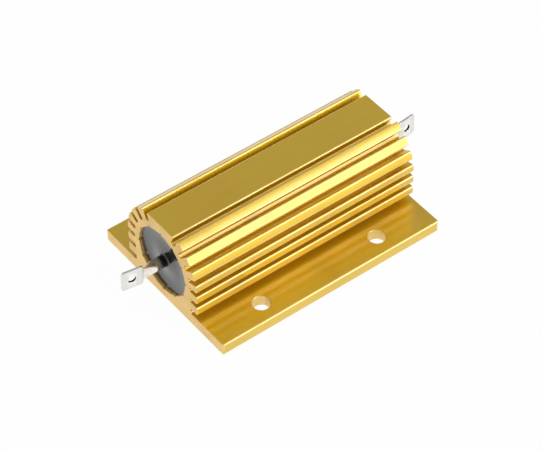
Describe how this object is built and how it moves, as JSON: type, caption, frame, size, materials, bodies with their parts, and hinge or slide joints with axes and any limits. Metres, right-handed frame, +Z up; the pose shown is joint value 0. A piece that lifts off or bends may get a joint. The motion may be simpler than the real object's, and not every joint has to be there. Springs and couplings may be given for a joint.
{
  "type": "aluminium housed power resistor",
  "caption": "Wirewound power resistor in a finned gold-anodised aluminium housing with a bolt-down flange and solder tabs.",
  "frame": {"origin": "Middle of the mounting face under the housing, on the plane the resistor is bolted down on.", "axes": "+X runs along the housing towards the right terminal, +Y across the flange away from the front, +Z up through the flat top."},
  "size_m": [0.088, 0.0474, 0.0241],
  "materials": {
    "anodised_aluminium": "satin gold anodised",
    "silicone": "glossy moulded",
    "ceramic": "matt, unglazed",
    "resistance_alloy": "drawn wire",
    "steel": "satin",
    "tinned_metal": "bright tinned"
  },
  "bodies": {
    "root": {"housing": "anodised_aluminium", "moulding": "silicone", "core": "ceramic", "winding": "resistance_alloy", "left_cap": "steel", "right_cap": "steel", "left_terminal": "tinned_metal", "right_terminal": "tinned_metal"}
  },
  "joints": []
}
